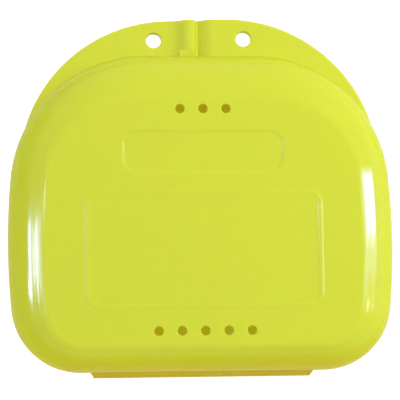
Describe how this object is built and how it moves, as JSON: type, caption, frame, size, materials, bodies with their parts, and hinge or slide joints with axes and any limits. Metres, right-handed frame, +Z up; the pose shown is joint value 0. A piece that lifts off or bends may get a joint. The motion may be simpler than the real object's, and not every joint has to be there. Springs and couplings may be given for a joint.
{
  "type": "retainer case",
  "caption": "Hinged clamshell case for a dental retainer: domed D-shaped lid and base, living hinge at the rear, vented lid and a lapped front lip with lanyard holes.",
  "frame": {"origin": "centre of the bounding box's footprint, on the surface that the closed case stands on", "axes": "+X to the right along the hinge line, +Y from the hinge towards the front lip, +Z up through the lid"},
  "size_m": [0.081, 0.0762, 0.0254],
  "materials": {
    "case_plastic": "gloss moulded polypropylene, lime yellow, slightly translucent",
    "hinge_plastic": "flexed polypropylene web, slightly duller"
  },
  "bodies": {
    "base": {"base_tray": "case_plastic", "base_rim": "case_plastic", "base_flange": "case_plastic", "base_hinge_leaf": "case_plastic", "hinge_web": "hinge_plastic"},
    "lid": {"lid_cover": "case_plastic", "lid_flange": "case_plastic", "lid_hinge_leaf": "case_plastic"}
  },
  "joints": [
    {"name": "lid_hinge", "type": "hinge", "parent": "base", "child": "lid", "pos_m": [0, -0.0381, 0.0127], "axis": [1, 0, 0], "range_deg": [0, 180], "deforming": ["hinge_web"]}
  ]
}
